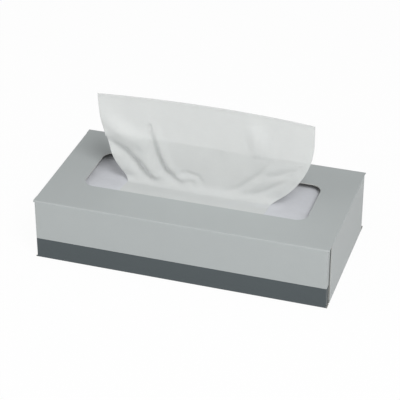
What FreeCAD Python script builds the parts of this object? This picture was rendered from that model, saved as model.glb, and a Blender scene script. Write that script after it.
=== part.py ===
import FreeCAD, Part

import math
import os
import re

import Sketcher

# Flat tissue box. Millimetres, +Z up, the long side along X, the printed front facing -Y.
# Origin: centre of the footprint, on the surface that the box stands on.
# The carton is one folded and glued sheet, the pile is one interfolded stack that rests on its
# floor, and the raised tissue is the sheet that stands out of the opening.

SIZES = {
    # Carton, outside sizes and board
    "carton_length": 230.0,
    "carton_width": 118.0,
    "carton_height": 50.4,
    "board": 0.5,
    "fold_radius": 1.0,
    # Cut edges at the corners of the blank
    "corner_trim": 0.2,
    "cut_gap": 0.3,
    # Glued seam along the lower back edge
    "glue_tab_height": 14.0,
    "glue_tab_inset": 4.0,
    "glue_tab_slant": 8.0,
    "seam_lift": 0.4,
    # End flaps
    "flap_setback": 6.4,
    "inner_flap_height": 16.5,
    "dust_flap_reach": 45.0,
    # Dispensing opening
    "opening_length": 176.5,
    "opening_width": 53.5,
    "opening_radius": 9.0,
    "opening_shift": 1.4,
    # Pile of interfolded tissues
    "pile_end_gap": 5.0,
    "pile_side_gap": 4.5,
    "pile_rim_radius": 4.0,
    "pile_headroom": 1.8,
    "pile_fall": 2.7,
    "pile_fall_front": -26.0,
    "pile_fall_back": 4.0,
    # Raised tissue
    "tissue_thickness": 0.4,
    "tissue_clearance": 0.4,
    "tissue_rise": 76.0,
    "tissue_tuck": 38.0,
    "tissue_blank_half": 90.0,
    "tissue_top": 120.6,
    "tissue_arch": 3.8,
    "side_bend": 6.0,
    "middle_bend": 13.0,
    "foot_level": 46.3,
    "foot_left": 61.0,
    "foot_right": 55.3,
    "head_level": 105.0,
    "head_left": 83.0,
    "head_right": 86.9,
    "tissue_bow": 2.5,
    "fold_depth": 2.2,
    "fold_width": 9.5,
}

# Folds of the raised tissue: where its foot and its head are along X, the height of the head as a
# share of the rise, and its strength beside the deepest fold
FOLDS = (
    (-36.6, -70.0, 0.45, 1.0),
    (-17.0, -40.6, 0.65, 0.9),
    (15.6, 42.5, 0.40, 0.5),
    (34.0, 70.0, 0.35, 0.4),
)

# Spans of the raised tissue's cubic surface: across as shares of half its blank, and along as
# shares of the tuck below the bend (negative) and of the rise above it, shortest at the bend
TISSUE_COLUMNS = [i / 8 for i in range(-8, 9)]
TISSUE_LINES = [-1.0, -0.5, -0.28, -0.12, 0.03, 0.12, 0.22, 0.35, 0.5, 0.66, 0.83, 1.0]
CUBIC = 3


def make_sheet(doc):
    """Spreadsheet with one aliased cell for each driving size."""
    sheet = doc.addObject("Spreadsheet::Sheet", "sizes")
    for row, (alias, value) in enumerate(SIZES.items(), start=1):
        sheet.set(f"A{row}", alias)
        sheet.set(f"B{row}", str(value))
        sheet.setAlias(f"B{row}", alias)
    doc.recompute()
    return sheet


def cells(formula):
    """A formula of sheet aliases as an expression that reads the sheet."""
    return re.sub(r"[a-z_]{3,}", lambda name: f"sizes.{name.group()}", formula)


def bind(thing, field, formula):
    """Tie a property of a feature to the sheet."""
    thing.setExpression(field, cells(formula))


def value_of(thing, formula):
    """What a formula of sheet aliases comes to now."""
    found = thing.evalExpression(cells(formula))
    return float(getattr(found, "Value", found))


def new_sketch(body, name, role, offset=None):
    """Sketch on one of the body's own origin planes, moved along its normal by offset."""
    sketch = body.newObject("Sketcher::SketchObject", name)
    support = next(f for f in body.Origin.OriginFeatures if f.Role == role)
    sketch.AttachmentSupport = [(support, "")]
    sketch.MapMode = "FlatFace"
    if offset:
        bind(sketch, "AttachmentOffset.Base.z", offset)
    return sketch


def add_outline(sketch, corners):
    """Closed outline through corners, each one (across, up) in formulas of sheet aliases.

    A corner with three more entries, (across, up, centre across, centre up, turn), starts an arc
    about that centre, turning "left" or "right". Every corner and radius is bound to the sheet:
    an arc between level ends by its centre's height, and any other by where its centre is across.
    """
    points = [FreeCAD.Vector(*(value_of(sketch, f) for f in c[:2]), 0) for c in corners]
    curves = []
    for i, corner in enumerate(corners):
        start, end = points[i], points[(i + 1) % len(points)]
        if len(corner) == 2:
            curves.append((sketch.addGeometry(Part.LineSegment(start, end), False), 1, 2))
            continue
        centre = FreeCAD.Vector(*(value_of(sketch, f) for f in corner[2:4]), 0)
        left = corner[4] == "left"
        first, last = (start, end) if left else (end, start)
        angles = [math.atan2(p.y - centre.y, p.x - centre.x) for p in (first, last)]
        circle = Part.Circle(centre, FreeCAD.Vector(0, 0, 1), (start - centre).Length)
        index = sketch.addGeometry(Part.ArcOfCircle(circle, *angles), False)
        curves.append((index, 1, 2) if left else (index, 2, 1))
    for i, (index, start, end) in enumerate(curves):
        after = curves[(i + 1) % len(curves)]
        sketch.addConstraint(Sketcher.Constraint("Coincident", index, end, after[0], after[1]))
    for i, (corner, (index, start, _)) in enumerate(zip(corners, curves)):
        dimension(sketch, ("DistanceX", -1, 1, index, start), corner[0])
        dimension(sketch, ("DistanceY", -1, 1, index, start), corner[1])
        if len(corner) > 2 and corner[1] == corners[(i + 1) % len(corners)][1]:
            dimension(sketch, ("DistanceY", -1, 1, index, 3), corner[3])
        elif len(corner) > 2:
            dimension(sketch, ("DistanceX", -1, 1, index, 3), corner[2])


def dimension(sketch, where, formula):
    """Add one dimension to a sketch and bind it to the sheet."""
    number = sketch.addConstraint(Sketcher.Constraint(*where, value_of(sketch, formula)))
    sketch.setExpression(f"Constraints[{number}]", cells(formula))


def rectangle(low_x, high_x, low_y, high_y):
    """Corners of a plain rectangle."""
    return [(low_x, low_y), (high_x, low_y), (high_x, high_y), (low_x, high_y)]


def round_rectangle(half_x, half_y, radius, middle_y="0"):
    """Corners of a rectangle with round corners, starting at the lower left one's end."""
    left, right = f"-({half_x})", half_x
    low, high = f"{middle_y} - ({half_y})", f"{middle_y} + {half_y}"
    in_left, in_right = f"{left} + {radius}", f"{right} - ({radius})"
    in_low, in_high = f"{low} + {radius}", f"{high} - ({radius})"
    return [
        (in_left, low),
        (in_right, low, in_right, in_low, "left"),
        (right, in_low),
        (right, in_high, in_right, in_high, "left"),
        (in_right, high),
        (in_left, high, in_left, in_high, "left"),
        (left, in_high),
        (left, in_low, in_left, in_low, "left"),
    ]


def pad(body, sketch, name, length, both_ways=False):
    """Pad of a sketch, along its normal or half each way."""
    feature = body.newObject("PartDesign::Pad", name)
    feature.Profile = sketch
    bind(feature, "Length", length)
    feature.Midplane = both_ways
    return feature


def pocket(body, sketch, name, length):
    """Pocket of a sketch, half its length each way."""
    feature = body.newObject("PartDesign::Pocket", name)
    feature.Profile = sketch
    bind(feature, "Length", length)
    feature.Midplane = True
    return feature


def add_sleeve(body):
    """The four long panels, with round folds, and the seam where the back panel is glued."""
    sketch = new_sketch(body, "sleeve_section", "YZ_Plane")
    middle = "carton_height / 2"
    add_outline(sketch, round_rectangle("carton_width / 2", middle, "fold_radius", middle))
    inner = ("carton_width / 2 - board", f"{middle} - board", "(fold_radius - board)", middle)
    add_outline(sketch, round_rectangle(*inner))
    pad(body, sketch, "sleeve", "carton_length - 2 * corner_trim", both_ways=True)


def add_seam(body):
    """Slanted glue tab inside the back panel, and that panel's cut edge along the bottom."""
    tab = new_sketch(body, "glue_tab_shape", "XZ_Plane", "-(carton_width / 2 - board)")
    foot = "carton_length / 2 - glue_tab_inset"
    top = f"{foot} - glue_tab_slant"
    outline = [(f"-({foot})", "board / 2"), (foot, "board / 2")]
    outline += [(top, "glue_tab_height"), (f"-({top})", "glue_tab_height")]
    add_outline(tab, outline)
    pad(body, tab, "glue_tab", "board")
    edge = new_sketch(body, "seam_edge", "YZ_Plane")
    half = "carton_width / 2"
    add_outline(edge, rectangle(f"{half} - board", f"{half} + board", "-board", "seam_lift"))
    pocket(body, edge, "seam_step", "2 * carton_length")


def add_opening(body):
    """Dispensing opening, cut through the top panel."""
    sketch = new_sketch(body, "opening_shape", "XY_Plane", "carton_height")
    halves = ("opening_length / 2", "opening_width / 2")
    add_outline(sketch, round_rectangle(*halves, "opening_radius", "opening_shift"))
    pocket(body, sketch, "opening", "4 * board")


def add_right_end(body):
    """Notches and glued flaps of the right end. The outer flap hangs from the top panel, the
    short inner flap stands on the bottom panel, and the dust flaps fold in behind both."""
    end = "carton_length / 2"
    reach = "carton_width / 2 - flap_setback"
    edge = "fold_radius + cut_gap"

    notch = new_sketch(body, "flap_notch_shape", "XY_Plane")
    root = f"{end} - board - fold_radius"
    sides = (f"-({reach} + cut_gap)", f"{reach} + cut_gap")
    add_outline(notch, rectangle(root, f"{end} + board", *sides))
    flap_notch = pocket(body, notch, "flap_notch", "4 * carton_height")

    notch = new_sketch(body, "dust_notch_shape", "XZ_Plane")
    dust_root = f"{end} - 2 * board - fold_radius"
    add_outline(notch, rectangle(dust_root, f"{end} + board", edge, f"carton_height - ({edge})"))
    dust_notch = pocket(body, notch, "dust_notch", "2 * carton_width")

    outer = new_sketch(body, "outer_flap_section", "XZ_Plane")
    fold, low_fold = f"{end} - fold_radius", "carton_height - fold_radius"
    add_outline(outer, [
        (root, "carton_height"),
        (fold, "carton_height", fold, low_fold, "right"),
        (end, low_fold),
        (end, "fold_radius"),
        (f"{end} - board", "fold_radius"),
        (f"{end} - board", low_fold, fold, low_fold, "left"),
        (fold, "carton_height - board"),
        (root, "carton_height - board"),
    ])
    outer_flap = pad(body, outer, "outer_flap", f"2 * ({reach})", both_ways=True)

    inner = new_sketch(body, "inner_flap_section", "XZ_Plane")
    add_outline(inner, [
        (root, "0", root, "fold_radius", "left"),
        (f"{end} - board", "fold_radius"),
        (f"{end} - board", "inner_flap_height"),
        (f"{end} - 2 * board", "inner_flap_height"),
        (f"{end} - 2 * board", "fold_radius", root, "fold_radius", "right"),
        (root, "board"),
    ])
    inner_flap = pad(body, inner, "inner_flap", f"2 * ({reach})", both_ways=True)

    dust = new_sketch(body, "dust_flap_section", "XY_Plane", edge)
    add_outline(dust, dust_flap_outline(end, dust_root, "-1", "left"))
    add_outline(dust, dust_flap_outline(end, dust_root, "1", "right"))
    dust_flaps = pad(body, dust, "dust_flaps", f"carton_height - 2 * ({edge})")
    return [flap_notch, dust_notch, outer_flap, inner_flap, dust_flaps]


def dust_flap_outline(end, root, side, turn):
    """Section of a dust flap, from its panel round the fold and in along the end."""
    back = "right" if turn == "left" else "left"
    outside, inside = f"{side} * carton_width / 2", f"{side} * (carton_width / 2 - board)"
    fold = f"{side} * (carton_width / 2 - fold_radius)"
    tip = f"{side} * (carton_width / 2 - dust_flap_reach)"
    return [
        (root, outside, root, fold, turn),
        (f"{end} - 2 * board", fold),
        (f"{end} - 2 * board", tip),
        (f"{end} - 3 * board", tip),
        (f"{end} - 3 * board", fold, root, fold, back),
        (root, inside),
    ]


def make_carton(doc):
    """The carton: one sheet of board, folded and glued."""
    body = doc.addObject("PartDesign::Body", "carton")
    body.Label = "carton"
    add_sleeve(body)
    add_seam(body)
    add_opening(body)
    right_end = add_right_end(body)
    left_end = body.newObject("PartDesign::Mirrored", "left_end")
    left_end.Originals = right_end
    mirror = next(f for f in body.Origin.OriginFeatures if f.Role == "YZ_Plane")
    left_end.MirrorPlane = (mirror, [""])
    body.Tip = left_end
    return body


def pile_top(size, y):
    """Height of the pile's soft top at that depth. It nearly meets the board at the front, and
    falls away to the back in two arcs that run into each other."""
    front = size.carton_height - size.board - size.pile_headroom
    span = size.pile_fall_back - size.pile_fall_front
    radius = fall_radius(size.pile_fall, span)
    before = min(max(y - size.pile_fall_front, 0.0), span)
    after = span - before
    if before < span / 2:
        return front - radius + math.sqrt(radius**2 - before**2)
    return front - size.pile_fall + radius - math.sqrt(radius**2 - after**2)


def fall_radius(drop, span):
    """Radius of two equal arcs that turn one level line into another."""
    return (span**2 + drop**2) / (4 * drop)


def pole_places(knots):
    """Where the poles go, so that a cubic curve with those knots runs at an even pace."""
    full = knots[:1] * CUBIC + knots + knots[-1:] * CUBIC
    return [sum(full[i + 1 : i + 1 + CUBIC]) / CUBIC for i in range(len(knots) + CUBIC - 1)]


def smooth_face(poles, across, along):
    """Face of one smooth cubic surface with those poles and knots."""
    surface = Part.BSplineSurface()
    mults = [[CUBIC + 1] + [1] * (len(knots) - 2) + [CUBIC + 1] for knots in (across, along)]
    surface.buildFromPolesMultsKnots(poles, *mults, across, along, False, False, CUBIC, CUBIC)
    return surface.toShape()


def make_pile(doc):
    """The interfolded stack: the same section from end to end, resting on the carton's floor."""
    body = doc.addObject("PartDesign::Body", "tissue_pile")
    body.Label = "tissue_pile"
    sketch = new_sketch(body, "pile_section", "YZ_Plane")
    side = "carton_width / 2 - 2 * board - pile_side_gap"
    rim = f"{side} - pile_rim_radius"
    front = "carton_height - board - pile_headroom"
    back = f"{front} - pile_fall"
    radius = "((pile_fall_back - pile_fall_front) ^ 2 + pile_fall ^ 2) / (4 * pile_fall)"
    middle = "(pile_fall_front + pile_fall_back) / 2"
    add_outline(sketch, [
        (f"-({side})", "board"),
        (side, "board"),
        (side, f"{back} - pile_rim_radius", rim, f"{back} - pile_rim_radius", "left"),
        (rim, back),
        ("pile_fall_back", back, "pile_fall_back", f"{back} + {radius}", "right"),
        (middle, f"{front} - pile_fall / 2", "pile_fall_front", f"{front} - {radius}", "left"),
        ("pile_fall_front", front),
        (f"-({rim})", front, f"-({rim})", f"{front} - pile_rim_radius", "left"),
        (f"-({side})", f"{front} - pile_rim_radius"),
    ])
    pad(body, sketch, "pile_stack", "carton_length - 6 * board - 2 * pile_end_gap", both_ways=True)
    return body


def turn_up(run, radius):
    """Place (forward, up) along a sheet that lies flat, turns up in a quarter circle and stands.
    The run is counted from the middle of the bend, and the place from the corner outside it."""
    angle = run / radius + math.pi / 4
    if angle < 0:
        return -radius + angle * radius, 0.0
    if angle > math.pi / 2:
        return 0.0, radius + (angle - math.pi / 2) * radius
    return -radius * (1 - math.sin(angle)), radius * (1 - math.cos(angle))


def fold_depth(size, x, share):
    """How far the folds push the raised sheet back. Each one starts at its foot on the pile,
    leans over to its head and fades out there."""
    depth = 0.0
    for foot, head, height, strength in FOLDS:
        left_over = max(0.0, 1 - share / height)
        away = (x - head - (foot - head) * left_over**2) / size.fold_width
        depth += strength * math.exp(-(away**2)) * left_over**0.6 * min(1.0, 6 * share)
    return size.fold_depth * depth


def tissue_point(size, x, run):
    """Point on the middle of the raised tissue. The run is the way along the sheet from the middle
    of its bend, up to the top edge or, below zero, down to the edge tucked under the board."""
    middle = 1 - (x / size.tissue_blank_half) ** 2
    y, lift = turn_up(run, size.side_bend + (size.middle_bend - size.side_bend) * middle)
    share = min(1.0, lift / size.tissue_rise)
    ground = pile_top(size, y) + size.tissue_clearance + size.tissue_thickness / 2
    y += size.tissue_bow * middle * math.sin(math.pi * share) + fold_depth(size, x, share)
    return FreeCAD.Vector(x, y, ground + lift)


def tissue_faces(size):
    """Front and back faces of the raised tissue, half its thickness either side of the middle."""
    step = 0.001
    places = [share * size.tissue_blank_half for share in TISSUE_COLUMNS]
    runs = [line * (size.tissue_rise if line > 0 else size.tissue_tuck) for line in TISSUE_LINES]
    front, back = [], []
    for x in pole_places(places):
        front_row, back_row = [], []
        for run in pole_places(runs):
            point = tissue_point(size, x, run)
            side = tissue_point(size, x + step, run) - tissue_point(size, x - step, run)
            up = tissue_point(size, x, run + step) - tissue_point(size, x, run - step)
            normal = up.cross(side).normalize() * (size.tissue_thickness / 2)
            front_row.append(point - normal)
            back_row.append(point + normal)
        front.append(front_row)
        back.append(back_row)
    return [smooth_face(poles, places, runs) for poles in (front, back)]


def make_tissue_blank(doc, size):
    """The folded sheet that stands out of the opening, before its sides and top are cut."""
    front, back = tissue_faces(size)
    rims = [Part.makeRuledSurface(a, b) for a, b in zip(front.Edges, back.Edges)]
    shell = Part.makeShell([front, back] + rims)
    shell.sewShape()
    solid = Part.Solid(shell)
    solid.fix(1e-4, 1e-4, 1e-4)
    blank = doc.addObject("Part::Feature", "tissue_blank")
    blank.Shape = solid if solid.Volume > 0 else solid.reversed()
    return blank


def make_tissue_outline(doc):
    """What the raised tissue is seen to cover from the front: narrow at the foot, spreading in a
    curve to both top corners, with a slightly arched top edge."""
    body = doc.addObject("PartDesign::Body", "tissue_outline")
    sketch = new_sketch(body, "outline_shape", "XZ_Plane")
    low = "carton_height / 2"
    corner = "tissue_top - tissue_arch"
    left = side_radius("head_left - foot_left", f"({corner}) - foot_level")
    right = side_radius("head_right - foot_right", "head_level - foot_level")
    middle = "(head_right - head_left) / 2"
    arch = "(((head_right + head_left) / 2) ^ 2 + tissue_arch ^ 2) / (2 * tissue_arch)"
    add_outline(sketch, [
        ("-foot_left", low),
        ("foot_right", low),
        ("foot_right", "foot_level", f"head_right - {right}", "head_level", "left"),
        ("head_right", "head_level"),
        ("head_right", corner, middle, f"tissue_top - {arch}", "left"),
        ("-head_left", corner, f"{left} - head_left", corner, "left"),
        ("-foot_left", "foot_level"),
    ])
    pad(body, sketch, "outline_block", "4 * tissue_tuck", both_ways=True)
    return body


def side_radius(spread, rise):
    """Radius of a side that spreads that far over that rise and stands upright at its head."""
    return f"((({spread}) ^ 2 + ({rise}) ^ 2) / (2 * ({spread})))"


def make_raised_tissue(doc, size):
    """The sheet that stands out of the opening, tucked under the front of the top panel."""
    tissue = doc.addObject("Part::MultiCommon", "raised_tissue")
    tissue.Label = "raised_tissue"
    tissue.Shapes = [make_tissue_blank(doc, size), make_tissue_outline(doc)]
    return tissue


def check_document(doc, sub_parts):
    """Stop on any failed feature, and on any sub-part that isn't one valid solid."""
    for item in doc.Objects:
        if {"Invalid", "Error"} & set(item.State):
            raise RuntimeError(f"{item.Name} failed: {item.State} {item.getStatusString()}")
    for item in sub_parts:
        shape = item.Shape
        if shape.isNull() or not shape.isValid() or len(shape.Solids) != 1:
            raise RuntimeError(f"{item.Label} isn't one valid solid")
        print(item.Label, len(shape.Faces), "faces", round(shape.Volume, 1), "mm3", shape.BoundBox)


def main():
    doc = FreeCAD.newDocument("tissue_box")
    size = make_sheet(doc)
    sub_parts = [make_carton(doc), make_pile(doc), make_raised_tissue(doc, size)]
    doc.recompute()
    check_document(doc, sub_parts)
    os.makedirs("parts", exist_ok=True)
    for item in sub_parts:
        item.Shape.exportStep(f"parts/{item.Label}.step")


main()
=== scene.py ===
import logging
import math
from dataclasses import dataclass, field
from enum import Enum

import bpy
from mathutils import Matrix, Vector


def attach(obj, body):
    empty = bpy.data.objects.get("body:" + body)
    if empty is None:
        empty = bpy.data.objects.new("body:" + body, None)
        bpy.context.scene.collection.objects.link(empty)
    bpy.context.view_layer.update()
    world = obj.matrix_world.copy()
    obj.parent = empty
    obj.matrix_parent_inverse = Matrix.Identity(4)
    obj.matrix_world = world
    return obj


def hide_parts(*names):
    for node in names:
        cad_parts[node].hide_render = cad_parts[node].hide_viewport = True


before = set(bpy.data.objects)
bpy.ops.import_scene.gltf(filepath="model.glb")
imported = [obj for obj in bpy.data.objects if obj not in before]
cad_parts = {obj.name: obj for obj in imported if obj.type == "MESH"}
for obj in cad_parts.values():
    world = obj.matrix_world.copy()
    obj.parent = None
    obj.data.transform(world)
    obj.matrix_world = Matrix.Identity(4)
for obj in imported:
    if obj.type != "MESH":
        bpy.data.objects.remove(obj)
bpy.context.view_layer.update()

logging.basicConfig(level=logging.INFO, format="%(levelname)s %(message)s")
log = logging.getLogger("tissue_box")

MM = 0.001
WHITE = (1.0, 1.0, 1.0, 1.0)

Tree = bpy.types.NodeTree
Socket = bpy.types.NodeSocket
Place = tuple[float, float, float]


class Slot(Enum):
    """Material slots of the record that the pieces take their finish from."""

    BOARD = "carton_board"
    STACK = "tissue_stack"
    SHEET = "tissue_sheet"


class Crease(Enum):
    """Kind of relief in the raised sheet, named by how it looks from the front."""

    VALLEY = "valley"
    RIPPLE = "ripple"
    SWELL = "swell"


def linear(hex_colour: str) -> tuple[float, float, float, float]:
    """Turn an sRGB hex colour into the linear colour that the shaders take.

    Args:
        hex_colour: Six hex digits, with or without a leading hash.

    Returns:
        Linear red, green, blue and an alpha of 1.
    """
    digits = hex_colour.lstrip("#")
    channels = []
    for i in (0, 2, 4):
        value = int(digits[i : i + 2], 16) / 255
        channels.append(value / 12.92 if value <= 0.04045 else ((value + 0.055) / 1.055) ** 2.4)
    return channels[0], channels[1], channels[2], 1.0


def add_node(tree: Tree, kind: str, inputs: dict | None = None, **settings) -> bpy.types.Node:
    """Add one shader node with its settings, values and links.

    Args:
        tree: Node tree that the node goes into.
        kind: Blender's name for the node type.
        inputs: Value or output socket for each input, by its name or its number.
        settings: Properties of the node, such as operation="MULTIPLY".

    Returns:
        The new node.
    """
    node = tree.nodes.new(kind)
    for name, value in settings.items():
        setattr(node, name, value)
    for name, value in (inputs or {}).items():
        if isinstance(value, Socket):
            tree.links.new(value, node.inputs[name])
        else:
            node.inputs[name].default_value = value
    return node


def calculate(tree: Tree, operation: str, *values: Socket | float) -> Socket:
    """Work out one number from others in a node tree.

    Args:
        tree: Node tree that the sum goes into.
        operation: Math node's operation, such as "ADD".
        values: Numbers or output sockets, in order.

    Returns:
        The socket that gives the result.
    """
    return add_node(tree, "ShaderNodeMath", dict(enumerate(values)), operation=operation).outputs[0]


def scale(tree: Tree, vector: Socket | Place, factor: Socket | float) -> Socket:
    """Multiply a vector or a colour by one number.

    Args:
        tree: Node tree.
        vector: The vector or the colour.
        factor: The number.

    Returns:
        The socket that gives the result.
    """
    inputs = {0: vector, "Scale": factor}
    return add_node(tree, "ShaderNodeVectorMath", inputs, operation="SCALE").outputs[0]


def place_in_mm(tree: Tree) -> Socket:
    """Find the point that is shaded, in the piece's own millimetres.

    Args:
        tree: Node tree.

    Returns:
        The socket that gives the point.
    """
    return scale(tree, add_node(tree, "ShaderNodeTexCoord").outputs["Object"], 1 / MM)


def noise(tree: Tree, place: Socket, size: float, detail: float, roughness: float) -> Socket:
    """Add noise from 0 to 1 with spots of one size.

    Args:
        tree: Node tree.
        place: Point in millimetres.
        size: Size of the spots in millimetres.
        detail: Number of finer layers.
        roughness: Weight of the finer layers.

    Returns:
        The socket that gives the noise.
    """
    return add_node(tree, "ShaderNodeTexNoise", {
        "Vector": place, "Scale": 1 / size, "Detail": detail, "Roughness": roughness,
    }).outputs[0]


def vary(tree: Tree, value: Socket, spread: float) -> Socket:
    """Turn noise from 0 to 1 into a shade about 1.

    Args:
        tree: Node tree.
        value: The noise.
        spread: Whole span of the shade.

    Returns:
        The socket that gives the shade.
    """
    return calculate(tree, "MULTIPLY_ADD", value, spread, 1 - spread / 2)


def ramp(tree: Tree, value: Socket, start: float, end: float, top: float = 1.0) -> Socket:
    """Rise from 0 to a top value between two values of the input.

    Args:
        tree: Node tree.
        value: The input.
        start: Input at which the rise starts.
        end: Input at which it ends.
        top: Value that it reaches.

    Returns:
        The socket that gives the result.
    """
    return add_node(tree, "ShaderNodeMapRange", {
        "Value": value, "From Min": start, "From Max": end, "To Min": 0.0, "To Max": top,
    }).outputs[0]


def blend(tree: Tree, share: Socket, first: Socket | tuple, second: Socket | tuple) -> Socket:
    """Mix two colours.

    Args:
        tree: Node tree.
        share: Share of the second colour.
        first: Linear colour where the share is 0.
        second: Linear colour where the share is 1.

    Returns:
        The socket that gives the colour.
    """
    inputs = {0: share, 6: first, 7: second}
    return add_node(tree, "ShaderNodeMix", inputs, data_type="RGBA").outputs[2]


def blend_shaders(tree: Tree, share: Socket | float, first: Socket, second: Socket) -> Socket:
    """Mix two shaders.

    Args:
        tree: Node tree.
        share: Share of the second shader.
        first: Shader where the share is 0.
        second: Shader where the share is 1.

    Returns:
        The socket that gives the shader.
    """
    return add_node(tree, "ShaderNodeMixShader", {0: share, 1: first, 2: second}).outputs[0]


def new_material(name: str) -> tuple[bpy.types.Material, Tree, bpy.types.Node]:
    """Make an empty material with its output node.

    Args:
        name: Name of the real material.

    Returns:
        The material, its node tree and its output node.
    """
    material = bpy.data.materials.new(name)
    material.use_nodes = True
    tree = material.node_tree
    tree.nodes.clear()
    return material, tree, add_node(tree, "ShaderNodeOutputMaterial")


def dress(piece: bpy.types.Object, material: bpy.types.Material) -> None:
    """Give a piece its only material.

    Args:
        piece: Mesh object to dress.
        material: The finish.
    """
    piece.data.materials.clear()
    piece.data.materials.append(material)


def deselect() -> None:
    """Leave edit mode and deselect everything."""
    if bpy.context.object and bpy.context.object.mode != "OBJECT":
        bpy.ops.object.mode_set(mode="OBJECT")
    bpy.ops.object.select_all(action="DESELECT")


def new_grid(name: str, across: int, along: int) -> bpy.types.Object:
    """Add a flat grid, one metre square about the origin, as a sheet to be shaped.

    Args:
        name: Name of the piece.
        across: Number of faces along X.
        along: Number of faces along Y.

    Returns:
        The grid object, selected and active.
    """
    deselect()
    bpy.ops.mesh.primitive_grid_add(x_subdivisions=across, y_subdivisions=along, size=1.0)
    piece = bpy.context.object
    piece.name = piece.data.name = name
    return piece


@dataclass(frozen=True)
class PrintedBoard:
    """Folding boxboard, clay coated and offset printed, with a satin dispersion varnish.

    The varnish gives an even soft sheen. The coat shows a faint mottle, the ink is a little
    rubbed along the folds, and the cut edges and the inside show bare pale board.
    """

    grey: str = "#AEB3B3"
    band: str = "#495154"
    bare: str = "#D8D6D0"
    inside: str = "#C2C0B9"
    length: float = 230.0
    width: float = 118.0
    height: float = 50.4
    board: float = 0.5
    fold_radius: float = 1.0
    band_height: float = 17.2
    band_wrap: float = 52.55
    band_bleed: float = 55.5
    ink_depth: float = 0.12
    # The flaps' print is looked for this far inside the ends, and the band's bleed this high
    end_reach: float = 0.2
    bleed_level: float = 0.3
    # The sleeve's inner side is taken to start this much before the board's full thickness
    inside_start: float = 0.02
    roughness: float = 0.46
    bare_roughness: float = 0.9
    roughness_spread: float = 0.1
    mottle_mm: float = 0.9
    mottle_shade: float = 0.035
    cloud_mm: float = 28.0
    cloud_shade: float = 0.03
    cloud_relief: float = 6.0
    fibre_mm: float = 0.35
    relief_mm: float = 0.02
    # Ink worn along the folds: its greatest share, how far from a fold's start it begins and is
    # full, and the mottle that it begins and is full at
    worn_share: float = 0.12
    worn_reach: tuple[float, float] = (-0.15, 0.35)
    worn_mottle: tuple[float, float] = (0.52, 0.72)

    def skin(self, tree: Tree, first: Socket, second: Socket, radius: float) -> Socket:
        """Depth below a rounded corner's skin, negative inside the board, in millimetres.

        Args:
            tree: Node tree.
            first: How far the point is past the corner's centre in one direction.
            second: How far it is past it in the other direction.
            radius: Outside radius of the fold.

        Returns:
            Socket of the signed distance to the skin.
        """
        outside = [calculate(tree, "MAXIMUM", v, 0.0) for v in (first, second)]
        squares = [calculate(tree, "MULTIPLY", v, v) for v in outside]
        reach = calculate(tree, "SQRT", calculate(tree, "ADD", *squares))
        inner = calculate(tree, "MINIMUM", calculate(tree, "MAXIMUM", first, second), 0.0)
        return calculate(tree, "SUBTRACT", calculate(tree, "ADD", reach, inner), radius)

    def material(self) -> bpy.types.Material:
        """Build the material from distances to the folded sheet's printed side.

        Returns:
            The printed board.
        """
        material, tree, output = new_material("printed_folding_boxboard")
        in_mm = place_in_mm(tree)
        axes = add_node(tree, "ShaderNodeSeparateXYZ", {0: in_mm})
        x, y, z = (axes.outputs[i] for i in range(3))
        far_x = calculate(tree, "ABSOLUTE", x)
        far_y = calculate(tree, "ABSOLUTE", y)
        far_z = calculate(tree, "ABSOLUTE", calculate(tree, "SUBTRACT", z, self.height / 2))
        radius = self.fold_radius

        # The four long panels, the outer flaps, the dust flaps and the inner flaps
        long_x = self.length / 2 - radius
        past_y = calculate(tree, "SUBTRACT", far_y, self.width / 2 - radius)
        past_z = calculate(tree, "SUBTRACT", far_z, self.height / 2 - radius)
        above = calculate(tree, "SUBTRACT", z, self.height - radius)
        below = calculate(tree, "SUBTRACT", radius, z)
        sleeve = self.skin(tree, past_y, past_z, radius)
        outer = self.skin(tree, calculate(tree, "SUBTRACT", far_x, long_x), above, radius)
        dust_x = calculate(tree, "SUBTRACT", far_x, long_x - 2 * self.board)
        dust = self.skin(tree, dust_x, past_y, radius)
        inner_x = calculate(tree, "SUBTRACT", far_x, long_x - self.board)
        inner = self.skin(tree, inner_x, below, radius)
        on_sleeve = calculate(tree, "GREATER_THAN", sleeve, -self.ink_depth)
        on_outer = calculate(tree, "GREATER_THAN", outer, -self.ink_depth)
        on_dust = calculate(tree, "LESS_THAN", calculate(tree, "ABSOLUTE", dust), self.ink_depth)
        on_inner = calculate(tree, "LESS_THAN", calculate(tree, "ABSOLUTE", inner), self.ink_depth)
        at_end = calculate(tree, "GREATER_THAN", far_x, long_x - 2 * self.board - self.end_reach)
        shut = calculate(tree, "MULTIPLY", calculate(tree, "MAXIMUM", on_dust, on_inner), at_end)
        printed = calculate(tree, "MAXIMUM", calculate(tree, "MAXIMUM", on_sleeve, on_outer), shut)

        # The dark band, wrapped onto the dust flaps at the ends and a little under the bottom
        low = calculate(tree, "LESS_THAN", z, self.band_height)
        under = calculate(tree, "LESS_THAN", z, self.bleed_level)
        bleed = self.band_bleed - self.band_wrap
        edge = calculate(tree, "MULTIPLY_ADD", under, bleed, self.band_wrap)
        band = calculate(tree, "MULTIPLY", low, calculate(tree, "GREATER_THAN", far_y, edge))

        # Faint mottle of the coat, and fine fibres below it
        mottle = noise(tree, in_mm, self.mottle_mm, detail=3.0, roughness=0.6)
        cloud = noise(tree, in_mm, self.cloud_mm, detail=2.0, roughness=0.5)
        fibre = noise(tree, in_mm, self.fibre_mm, detail=2.0, roughness=0.55)
        mottled = vary(tree, mottle, self.mottle_shade)
        shade = calculate(tree, "MULTIPLY", mottled, vary(tree, cloud, self.cloud_shade))

        # Ink rubbed thin along the folds
        near = ramp(tree, calculate(tree, "MINIMUM", past_y, past_z), *self.worn_reach)
        worn = ramp(tree, mottle, *self.worn_mottle, top=self.worn_share)
        rub = calculate(tree, "MULTIPLY", near, worn)

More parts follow.
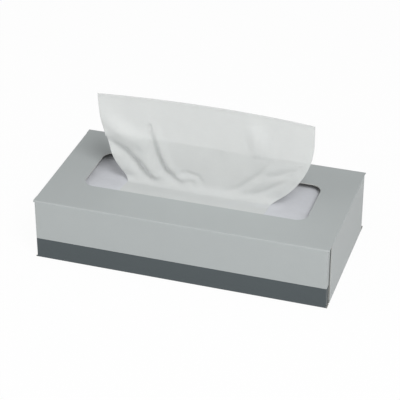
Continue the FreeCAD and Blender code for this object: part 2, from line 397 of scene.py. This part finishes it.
        ink = blend(tree, band, linear(self.grey), linear(self.band))
        ink = blend(tree, rub, ink, linear(self.bare))
        far_in = calculate(tree, "LESS_THAN", sleeve, self.inside_start - self.board)
        plain = blend(tree, far_in, linear(self.bare), linear(self.inside))
        shaded = scale(tree, blend(tree, printed, plain, ink), shade)
        varnish = calculate(tree, "MULTIPLY", printed, self.bare_roughness - self.roughness)
        matt = calculate(tree, "SUBTRACT", self.bare_roughness, varnish)
        spread = self.roughness_spread
        uneven = calculate(tree, "MULTIPLY_ADD", mottle, spread, -spread / 2)
        rough = calculate(tree, "ADD", matt, uneven)
        waves = calculate(tree, "MULTIPLY", cloud, self.cloud_relief)
        bump = add_node(tree, "ShaderNodeBump", {
            "Height": calculate(tree, "ADD", fibre, waves),
            "Strength": 0.12, "Distance": self.relief_mm * MM,
        })
        skin = add_node(tree, "ShaderNodeBsdfPrincipled", {
            "Base Color": shaded, "Roughness": rough, "IOR": 1.47, "Specular IOR Level": 0.42,
            "Normal": bump.outputs[0],
        })
        tree.links.new(skin.outputs[0], output.inputs["Surface"])
        return material


@dataclass(frozen=True)
class TissuePaper:
    """Two-ply creped facial tissue, soft, matt and a little see-through.

    Creping on the drying cylinder leaves fine ridges across the sheet, which only show as a soft
    grain, so they are drawn about twice as coarse as they are. Light comes through a single sheet.
    """

    name: str
    colour: str = "#E8EAE9"
    crepe_mm: float = 0.8
    # The creping's ridges are longer along X by one over this share
    crepe_stretch: float = 0.22
    cloud_mm: float = 9.0
    cloud_relief: float = 2.0
    relief_mm: float = 0.12
    translucent: float = 0.3
    clear: float = 0.28
    # Distance between the sheets' edges on steep sides, or 0 for none, and the normal's greatest
    # upward share there
    layer_mm: float = 0.0
    steep: float = 0.5
    grain: float = 0.05
    cloud_share: float = 0.8

    def layers(self, tree: Tree, in_mm: Socket) -> Socket:
        """Draw the edges of stacked sheets on the steep sides.

        Args:
            tree: Node tree.
            in_mm: Point in millimetres.

        Returns:
            The socket that gives the height of their relief.
        """
        up = add_node(tree, "ShaderNodeSeparateXYZ", {0: in_mm}).outputs[2]
        turns = calculate(tree, "MULTIPLY", up, 2 * math.pi / self.layer_mm)
        normal = add_node(tree, "ShaderNodeNewGeometry").outputs["Normal"]
        level = add_node(tree, "ShaderNodeSeparateXYZ", {0: normal}).outputs[2]
        side = calculate(tree, "LESS_THAN", calculate(tree, "ABSOLUTE", level), self.steep)
        return calculate(tree, "MULTIPLY", calculate(tree, "SINE", turns), side)

    def material(self) -> bpy.types.Material:
        """Build the tissue's material.

        Returns:
            The tissue paper.
        """
        material, tree, output = new_material(self.name)
        in_mm = place_in_mm(tree)
        stretch = (self.crepe_stretch, 1.0, 1.0)
        ridges = add_node(tree, "ShaderNodeMapping", {"Vector": in_mm, "Scale": stretch}).outputs[0]
        crepe = noise(tree, ridges, self.crepe_mm, detail=3.0, roughness=0.6)
        cloud = noise(tree, in_mm, self.cloud_mm, detail=3.0, roughness=0.5)
        waves = calculate(tree, "MULTIPLY", cloud, self.cloud_relief)
        height = calculate(tree, "ADD", crepe, waves)
        if self.layer_mm:
            height = calculate(tree, "ADD", height, self.layers(tree, in_mm))
        mist = vary(tree, cloud, self.cloud_share * self.grain)
        shade = calculate(tree, "MULTIPLY", vary(tree, crepe, self.grain), mist)
        colour = scale(tree, linear(self.colour)[:3], shade)
        bump = add_node(tree, "ShaderNodeBump", {
            "Height": height, "Strength": 0.35, "Distance": self.relief_mm * MM,
        }).outputs[0]
        skin = add_node(tree, "ShaderNodeBsdfPrincipled", {
            "Base Color": colour, "Roughness": 0.92, "Specular IOR Level": 0.15, "Normal": bump,
            "Sheen Weight": 0.15, "Sheen Roughness": 0.6,
        }).outputs[0]
        if self.translucent:
            through = add_node(tree, "ShaderNodeBsdfTranslucent", {"Color": colour, "Normal": bump})
            skin = blend_shaders(tree, self.translucent, skin, through.outputs[0])
        if self.clear:
            holes = add_node(tree, "ShaderNodeBsdfTransparent")
            skin = blend_shaders(tree, self.clear, skin, holes.outputs[0])
        tree.links.new(skin, output.inputs["Surface"])
        return material


@dataclass(frozen=True)
class Backdrop:
    """Pale seamless paper under the box, white to the camera, with the box's soft shadow."""

    colour: str = "#F2F2F2"
    glow_share: float = 0.95

    def material(self) -> bpy.types.Material:
        """Build the backdrop's material.

        Returns:
            Paper that the camera and reflections see as white.
        """
        material, tree, output = new_material("seamless_backdrop_paper")
        rays = add_node(tree, "ShaderNodeLightPath").outputs
        seen = calculate(tree, "MAXIMUM", rays["Is Camera Ray"], rays["Is Glossy Ray"])
        seen = calculate(tree, "MAXIMUM", seen, rays["Is Transmission Ray"])
        paper = add_node(tree, "ShaderNodeBsdfDiffuse", {"Color": linear(self.colour)}).outputs[0]
        white = add_node(tree, "ShaderNodeEmission", {"Color": WHITE, "Strength": 1.0}).outputs[0]
        share = calculate(tree, "MULTIPLY", seen, self.glow_share)
        mixed = blend_shaders(tree, share, paper, white)
        tree.links.new(mixed, output.inputs["Surface"])
        return material


@dataclass
class PhotoCamera:
    """The camera of the photograph, solved from the carton's corners."""

    azimuth: float = 17.79
    elevation: float = 31.17
    place: Place = (0.3194, -1.0003, 0.6732)
    sensor: float = 36.0
    focal_px: float = 1596.3
    image_px: float = 400.0
    farthest: float = 20.0

    def build(self) -> bpy.types.Object:
        """Add the camera and make it the scene's own.

        Returns:
            The camera object.
        """
        turn, rise = math.radians(self.azimuth), math.radians(self.elevation)
        level = math.cos(rise)
        back = Vector((math.sin(turn) * level, -math.cos(turn) * level, math.sin(rise)))
        right = Vector((0, 0, 1)).cross(back).normalized()
        lens = bpy.data.cameras.new("photo_camera")
        lens.sensor_width = self.sensor
        lens.lens = self.sensor * self.focal_px / self.image_px
        lens.clip_end = self.farthest
        camera = bpy.data.objects.new("photo_camera", lens)
        bpy.context.scene.collection.objects.link(camera)
        turned = Matrix((right, back.cross(right), back)).transposed().to_4x4()
        camera.matrix_world = Matrix.Translation(self.place) @ turned
        bpy.context.scene.camera = camera
        return camera


@dataclass
class Studio:
    """Plain soft studio: a pale floor, a white surround and two large soft lamps."""

    floor_size: float = 8.0
    world_strength: float = 0.33
    key_place: Place = (0.75, -0.9, 1.38)
    key_size: float = 0.8
    key_power: float = 21.5
    fill_place: Place = (-1.2, -0.7, 0.8)
    fill_size: float = 1.2
    fill_power: float = 6.0
    aim: Place = (0.0, 0.0, 0.06)

    def lamp(self, name: str, place: Place, size: float, power: float) -> None:
        """Add a square soft lamp that faces the box.

        Args:
            name: Name of the lamp.
            place: Where it stands, in metres.
            size: Length of its side in metres.
            power: Power in watts.
        """
        light = bpy.data.lights.new(name, "AREA")
        light.size, light.energy = size, power
        lamp = bpy.data.objects.new(name, light)
        bpy.context.scene.collection.objects.link(lamp)
        turn = (Vector(self.aim) - Vector(place)).to_track_quat("-Z", "Y")
        lamp.matrix_world = Matrix.Translation(place) @ turn.to_matrix().to_4x4()

    def build(self) -> None:
        """Add the floor, the lamps and the world."""
        deselect()
        bpy.ops.mesh.primitive_plane_add(size=self.floor_size)
        floor = bpy.context.object
        floor.name = "floor"
        floor.data.materials.append(Backdrop().material())
        self.lamp("key_softbox", self.key_place, self.key_size, self.key_power)
        self.lamp("fill_softbox", self.fill_place, self.fill_size, self.fill_power)
        world = bpy.data.worlds.new("studio")
        bpy.context.scene.world = world
        world.use_nodes = True
        tree = world.node_tree
        tree.nodes.clear()
        rays = add_node(tree, "ShaderNodeLightPath").outputs
        seen = calculate(tree, "MAXIMUM", rays["Is Camera Ray"], rays["Is Transmission Ray"])
        lit = self.world_strength
        strength = calculate(tree, "MULTIPLY_ADD", seen, 1 - lit, lit)
        sky = add_node(tree, "ShaderNodeBackground", {"Color": WHITE, "Strength": strength})
        output = add_node(tree, "ShaderNodeOutputWorld")
        tree.links.new(sky.outputs[0], output.inputs["Surface"])
        bpy.context.scene.view_settings.view_transform = "Standard"


@dataclass
class Carton:
    """The folded and glued carton, which keeps its CAD mesh."""

    finish: PrintedBoard = field(default_factory=PrintedBoard)

    def build(self) -> bpy.types.Object:
        """Dress the carton.

        Returns:
            The carton's object.
        """
        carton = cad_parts["carton"]
        dress(carton, self.finish.material())
        return carton


@dataclass
class TissuePile:
    """The interfolded stack inside the carton, with its soft top sheet. Millimetres."""

    half_length: float = 108.5
    half_width: float = 53.5
    floor: float = 0.5
    front_level: float = 48.1
    fall: float = 2.7
    fall_front: float = -26.0
    fall_back: float = 4.0
    end_dip: float = 1.4
    rim: float = 4.0
    # The sides are drawn this far down first, and then their foot is set to the floor
    drawn_down: float = 10.0
    # Soft unevenness of the top sheet: depth and wave lengths of its swells and of its dents
    swell: float = 0.35
    swell_waves: tuple[float, ...] = (19.0, 11.0, 16.0)
    swell_sway: float = 0.6
    swell_start: float = 0.4
    dent: float = 0.18
    dent_waves: tuple[float, ...] = (7.3, 9.1, 6.1, 21.0)
    faces_across: int = 200
    faces_along: int = 100
    smooth_angle: float = 50.0
    # The pile's paper is the same white tissue as the raised sheet, given a darker grey as painted
    # shade of the recess under the board
    finish: TissuePaper = field(default_factory=lambda: TissuePaper(
        "creped_tissue_stack_painted_shade", colour="#C7C9CE", translucent=0.0, clear=0.0, layer_mm=0.9,
        grain=0.14))

    def top(self, x: float, y: float) -> float:
        """Height of the soft top.

        Args:
            x: Place along the carton in millimetres.
            y: Place towards the back in millimetres.

        Returns:
            Height in millimetres.
        """
        span = self.fall_back - self.fall_front
        radius = (span**2 + self.fall**2) / (4 * self.fall)
        before = min(max(y - self.fall_front, 0.0), span)
        after = span - before
        if before < span / 2:
            level = self.front_level - radius + math.sqrt(radius**2 - before**2)
        else:
            level = self.front_level - self.fall + radius - math.sqrt(radius**2 - after**2)
        return level - self.end_dip * max(0.0, x / self.half_length) ** 3

    def soft(self, x: float, y: float) -> float:
        """Small dents and swells of the top sheet.

        Args:
            x: Place along the carton in millimetres.
            y: Place towards the back in millimetres.

        Returns:
            Height above the even top in millimetres.
        """
        a, b, c = self.swell_waves
        sway = self.swell_sway * math.sin(y / b)
        swell = self.swell * math.sin(x / a + sway) * math.cos(y / c + self.swell_start)
        a, b, c, d = self.dent_waves
        dent = self.dent * math.sin(x / a - y / b) * math.sin(y / c + x / d)
        return swell + dent

    def build(self) -> bpy.types.Object:
        """Build the pile from a grid: shape its top, then extrude its sides down to the floor.

        Returns:
            The pile's object.
        """
        pile = new_grid("pile_of_tissues", self.faces_across, self.faces_along)
        inner_x, inner_y = self.half_length - self.rim, self.half_width - self.rim
        for vertex in pile.data.vertices:
            x, y = 2 * vertex.co.x * self.half_length, 2 * vertex.co.y * self.half_width
            past = math.hypot(max(0.0, abs(x) - inner_x), max(0.0, abs(y) - inner_y))
            drop = self.rim - math.sqrt(max(0.0, self.rim**2 - min(past, self.rim) ** 2))
            z = self.top(x, y) + self.soft(x, y) - drop
            vertex.co = Vector((x, y, z)) * MM
        bpy.ops.object.mode_set(mode="EDIT")
        bpy.ops.mesh.select_all(action="SELECT")
        bpy.ops.mesh.region_to_loop()
        down = (0.0, 0.0, -self.drawn_down * MM)
        bpy.ops.mesh.extrude_region_move(TRANSFORM_OT_translate={"value": down})
        bpy.ops.object.mode_set(mode="OBJECT")
        rim = [v for v in pile.data.vertices if v.select]
        for vertex in rim:
            vertex.co.z = self.floor * MM
        bpy.ops.object.mode_set(mode="EDIT")
        bpy.ops.mesh.edge_face_add()
        bpy.ops.mesh.select_all(action="SELECT")
        bpy.ops.mesh.normals_make_consistent(inside=False)
        bpy.ops.object.mode_set(mode="OBJECT")
        bpy.ops.object.shade_smooth_by_angle(angle=math.radians(self.smooth_angle))
        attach(pile, "root")
        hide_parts("tissue_pile")
        dress(pile, self.finish.material())
        return pile


# Round humps across each kind of crease: height as a share of its depth, and place and spread in
# widths from its line. A ripple or a valley is seen by the shaded wall above it, so its bottom
# lies one width below its line
PROFILES = {
    Crease.SWELL: ((1.0, 0.0, 1.0),),
    Crease.RIPPLE: ((1.0, 1.0, 1.0), (-0.35, 2.9, 1.0)),
    Crease.VALLEY: ((1.0, 1.0, 1 / 0.9), (-0.5, -1.1, 1.6), (-0.35, 3.3, 2.2)),
}
# A crease is left out past this many widths. It starts and ends at this share of a half wave,
# which is raised to this power to keep it deep for most of its length
CREASE_REACH = 6
CREASE_START = 0.08
CREASE_TAPER = 0.9


@dataclass(frozen=True)
class Fold:
    """One crease of the raised sheet along a line of points (x, z) seen from the front.

    Millimetres, and the points of a ripple or a valley run from left to right. A positive depth
    pushes the sheet back, and a negative one forwards.
    """

    line: tuple[tuple[float, float], ...]
    depth: float
    width: float
    kind: Crease = Crease.RIPPLE

    def away(self, x: float, z: float) -> tuple[float, float]:
        """Find the nearest place on the line.

        Args:
            x: Place along the carton.
            z: Height above the table.

        Returns:
            Distance to the line, negative above a line that runs from left to right, and the
            share of the line's points that lies before the place.
        """
        best, share = math.inf, 0.0
        for i, (low, high) in enumerate(zip(self.line, self.line[1:])):
            span_x, span_z = high[0] - low[0], high[1] - low[1]
            length = math.hypot(span_x, span_z)
            along = ((x - low[0]) * span_x + (z - low[1]) * span_z) / length**2
            along = min(1.0, max(0.0, along))
            off_x, off_z = x - low[0] - along * span_x, z - low[1] - along * span_z
            distance = math.hypot(off_x, off_z)
            if distance < abs(best):
                side = 1.0 if off_x * span_z - off_z * span_x >= 0 else -1.0
                best, share = side * distance, (i + along) / (len(self.line) - 1)
        return best, share

    def relief(self, x: float, z: float) -> float:
        """How far this crease pushes the sheet back at a point seen from the front.

        Args:
            x: Place along the carton.
            z: Height above the table.

        Returns:
            Depth in millimetres.
        """
        if self.clear_of(x, z) > CREASE_REACH * self.width:
            return 0.0
        distance, share = self.away(x, z)
        off = distance / self.width
        wave = math.sin(math.pi * (CREASE_START + (1 - 2 * CREASE_START) * share))
        humps = PROFILES[self.kind]
        profile = sum(h * math.exp(-((off - place) ** 2) / spread) for h, place, spread in humps)
        return self.depth * profile * wave**CREASE_TAPER

    def clear_of(self, x: float, z: float) -> float:
        """Distance from a point to the box round the line.

        Args:
            x: Place along the carton.
            z: Height above the table.

        Returns:
            The larger of the distances along X and Z, zero inside the box.
        """
        xs, zs = [p[0] for p in self.line], [p[1] for p in self.line]
        return max(0.0, min(xs) - x, x - max(xs), min(zs) - z, z - max(zs))


@dataclass
class RaisedTissue:
    """The sheet that stands out of the opening. Millimetres."""

    pile: TissuePile
    tuck: float = 38.0
    rise: float = 72.9
    clearance: float = 0.45
    foot_left: float = 59.0
    foot_right: float = 55.3
    head_left: float = 83.0
    head_right: float = 86.9
    # Share of the rise at which each side stands upright
    left_upright: float = 1.0
    right_upright: float = 0.8
    arch: float = 2.6
    side_bend: float = 5.0
    middle_bend: float = 6.5
    # The middle's bend and bow fade out towards the sides, and would end a little past them
    middle_share: float = 0.9
    bow: float = 2.5
    thickness: float = 0.22
    # The sheet's cut edges curl a little, over the last millimetre
    edge_curl: float = 0.25
    # Creases and curled sides fade in over one part in this many of the rise
    fade_in: float = 9.0
    # The creases are laid out on the plane y = 0 as the eye sees them: for each millimetre that a
    # point stands before that plane, it is seen this much further left and lower
    seen_left: float = 0.321
    seen_low: float = 0.635
    faces_across: int = 190
    faces_along: int = 140
    smooth_angle: float = 60.0
    finish: TissuePaper = field(default_factory=lambda: TissuePaper("creped_facial_tissue"))
    folds: tuple[Fold, ...] = (
        Fold(((-74.0, 80.0), (-60.8, 73.5), (-51.2, 64.0), (-43.2, 54.0), (-32.0, 40.0)),
             3.4, 3.3, Crease.VALLEY),
        Fold(((-39.5, 92.0), (-38.0, 86.0), (-36.0, 79.0), (-33.2, 70.0), (-28.5, 61.0),
              (-20.0, 53.0), (-7.0, 40.0)), 3.6, 3.0, Crease.VALLEY),
        Fold(((-26.0, 59.0), (-12.0, 62.0), (-2.0, 60.0), (4.0, 51.0)), 1.0, 2.2),
        Fold(((-16.0, 53.0), (-7.0, 54.0), (-3.0, 46.0)), 0.9, 2.0),
        Fold(((3.0, 43.0), (15.0, 48.0), (27.0, 55.0), (42.0, 68.0), (50.0, 79.0)), 1.4, 2.6),
        Fold(((5.0, 34.0), (19.0, 40.0), (33.0, 47.0), (48.0, 56.0), (66.0, 70.0)), 1.7, 2.8),
        Fold(((44.0, 69.0), (57.0, 72.0), (73.0, 79.0)), 1.0, 3.0),
        Fold(((40.0, 46.0), (52.0, 52.0), (60.0, 58.0)), 0.9, 2.6),
        Fold(((17.0, 84.0), (15.0, 62.0)), 1.2, 6.0, Crease.SWELL),
        Fold(((-78.0, 99.0), (-66.8, 88.8), (-54.0, 82.2), (-46.0, 83.0)),
             -3.8, 7.0, Crease.SWELL),
        Fold(((40.0, 110.0), (44.0, 96.0), (46.0, 82.0)), -2.8, 7.0, Crease.SWELL),
        Fold(((-78.0, 78.0), (-72.0, 64.0), (-65.0, 50.0)), -2.6, 5.0, Crease.SWELL),
        Fold(((-51.0, 82.0), (-44.0, 67.0), (-34.0, 48.0)), -1.3, 4.2, Crease.SWELL),
    )

    def turn_up(self, run: float, radius: float) -> tuple[float, float]:
        """Follow the sheet from the pile up through its round bend.

        Args:
            run: Way along the sheet from the middle of its bend.
            radius: Radius of the bend.

        Returns:
            Place forward of the corner, and height above the pile.
        """
        angle = run / radius + math.pi / 4
        if angle < 0:
            return -radius + angle * radius, 0.0
        if angle > math.pi / 2:
            return 0.0, radius + (angle - math.pi / 2) * radius
        return -radius * (1 - math.sin(angle)), radius * (1 - math.cos(angle))

    def fold_depth(self, x: float, z: float) -> float:
        """How far the creases push the sheet back at a point seen from the front.

        Args:
            x: Place along the carton.
            z: Height above the table.

        Returns:
            Depth in millimetres.
        """
        return sum(fold.relief(x, z) for fold in self.folds)

    def side(self, share: float, foot: float, head: float, level: float) -> float:
        """Half width of the sheet at a share of its height, where its side is a round curve.

        Args:
            share: Height as a share of the raised height.
            foot: Half width at the foot.
            head: Half width at the head.
            level: Share of the height at which the side stands upright.

        Returns:
            Half width in millimetres.
        """
        left = max(0.0, 1 - share / level)
        rise = level * self.rise
        radius = ((head - foot) ** 2 + rise**2) / (2 * (head - foot))
        return head - radius + math.sqrt(radius**2 - (left * rise) ** 2)

    def point(self, across: float, run: float) -> Vector:
        """Place on the middle of the sheet.

        Args:
            across: From 0 at the left edge to 1 at the right edge.
            run: Way along the sheet from the middle of its bend.

        Returns:
            The place in millimetres.
        """
        even = 2 * across - 1
        middle = max(0.0, 1 - (self.middle_share * even) ** 2)
        y, lift = self.turn_up(run, self.side_bend + (self.middle_bend - self.side_bend) * middle)
        share = min(1.0, lift / self.rise)
        free = min(1.0, self.fade_in * share)
        left = self.side(share, self.foot_left, self.head_left, self.left_upright)
        right = self.side(share, self.foot_right, self.head_right, self.right_upright)
        width = left + right
        x = -left + across * width
        ground = self.pile.top(x, y) + self.clearance
        z = ground + lift - self.arch * share**2 * even**2
        y += self.bow * middle * math.sin(math.pi * share)
        y += self.fold_depth(x + self.seen_left * y, z + self.seen_low * y) * free
        y -= self.edge_curl * max(0.0, 1 - (1 - share) * self.rise)
        y += self.edge_curl * max(0.0, 1 - across * width) * free
        y -= self.edge_curl * max(0.0, 1 - (1 - across) * width) * free
        return Vector((x, y, z))

    def build(self) -> bpy.types.Object:
        """Shape a grid into the sheet and give it its thickness.

        Returns:
            The sheet's object.
        """
        sheet = new_grid("raised_sheet", self.faces_across, self.faces_along)
        for vertex in sheet.data.vertices:
            run = -self.tuck + (vertex.co.y + 0.5) * (self.tuck + self.rise)
            vertex.co = self.point(vertex.co.x + 0.5, run) * MM
        solid = sheet.modifiers.new("paper", "SOLIDIFY")
        solid.thickness, solid.offset = self.thickness * MM, 0.0
        bpy.ops.object.modifier_apply(modifier=solid.name)
        bpy.ops.object.shade_smooth_by_angle(angle=math.radians(self.smooth_angle))
        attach(sheet, "root")
        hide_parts("raised_tissue")
        dress(sheet, self.finish.material())
        return sheet


def main() -> None:
    """Build the studio and the dressed object."""
    PhotoCamera().build()
    Studio().build()
    carton = Carton().build()
    log.info("carton dressed: %d faces", len(carton.data.polygons))
    shape = TissuePile()
    pile = shape.build()
    log.info("pile of tissues: %d faces", len(pile.data.polygons))
    sheet = RaisedTissue(shape).build()
    log.info("raised sheet: %d faces", len(sheet.data.polygons))


if __name__ == "__main__":
    main()
